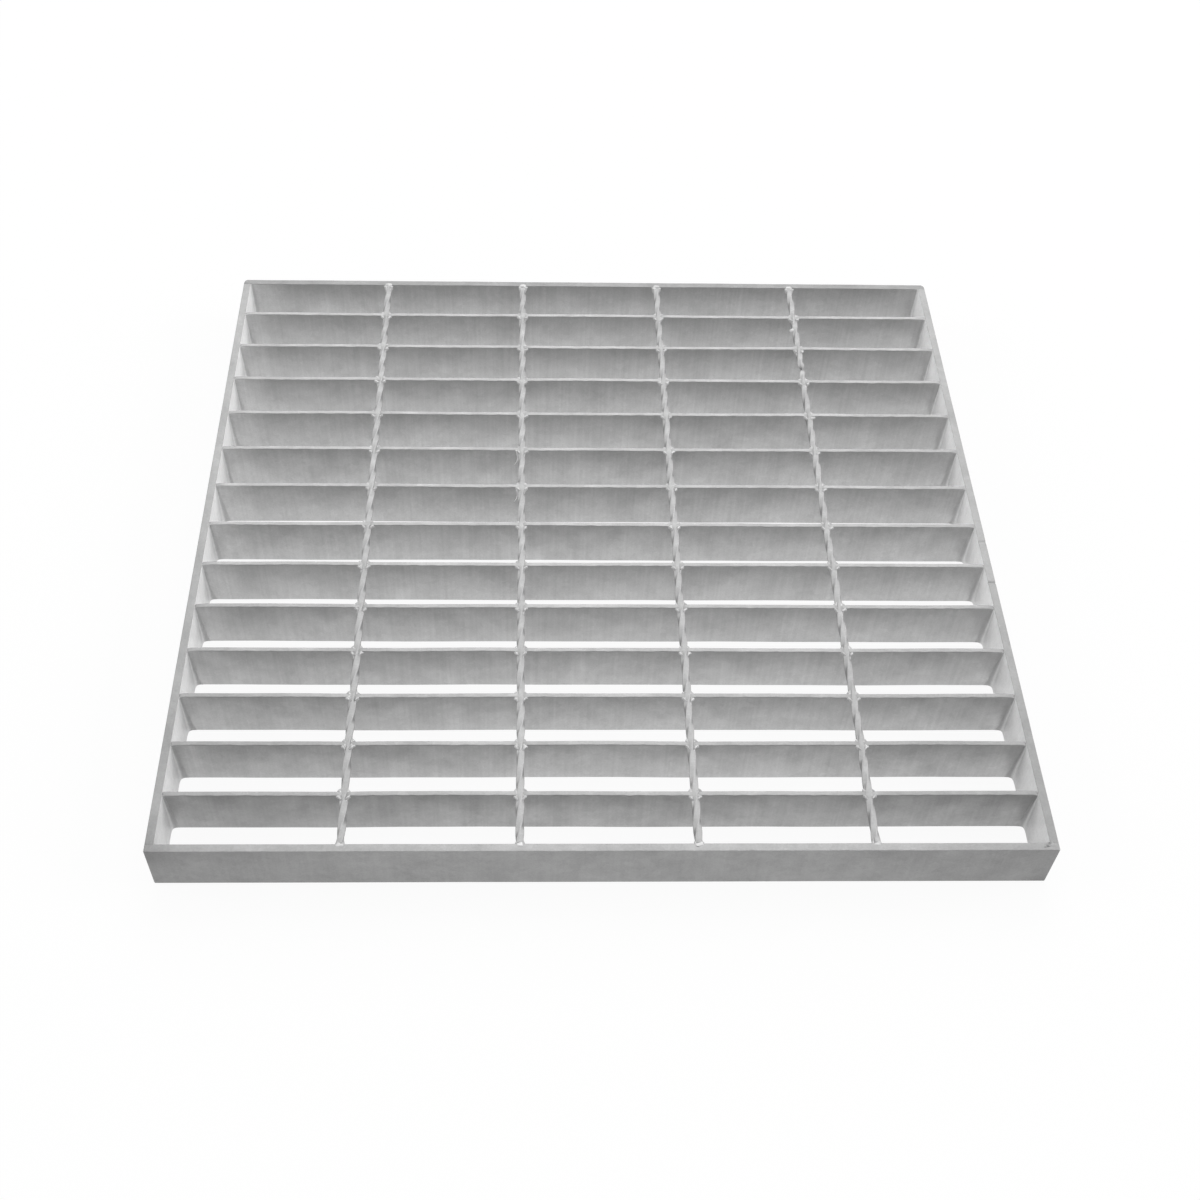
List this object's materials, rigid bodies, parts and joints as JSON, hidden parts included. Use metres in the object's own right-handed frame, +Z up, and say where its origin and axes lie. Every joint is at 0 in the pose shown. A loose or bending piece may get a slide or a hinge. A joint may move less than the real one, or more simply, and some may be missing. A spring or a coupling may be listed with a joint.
{
  "type": "steel grating panel",
  "caption": "Banded steel grating panel: upright flat bearing bars crossed by twisted square rods set flush in their tops, with flat bar welded round the edge.",
  "frame": {"origin": "on the underside of the panel, below the middle of its rectangular outline", "axes": "+X along the bearing bars, towards the right side band; +Y across the bars, towards the back band; +Z up, out of the walking surface"},
  "size_m": [0.51, 0.4872, 0.0353],
  "materials": {
    "galvanised_mesh": "hot-dip galvanised, dull grey with faint upright streaks, brighter weld flash at the crossings",
    "galvanised_band": "hot-dip galvanised, dull even grey, slightly mottled"
  },
  "bodies": {
    "root": {"grating": "galvanised_mesh", "band_front": "galvanised_band", "band_back": "galvanised_band", "band_left": "galvanised_band", "band_right": "galvanised_band"}
  },
  "joints": []
}
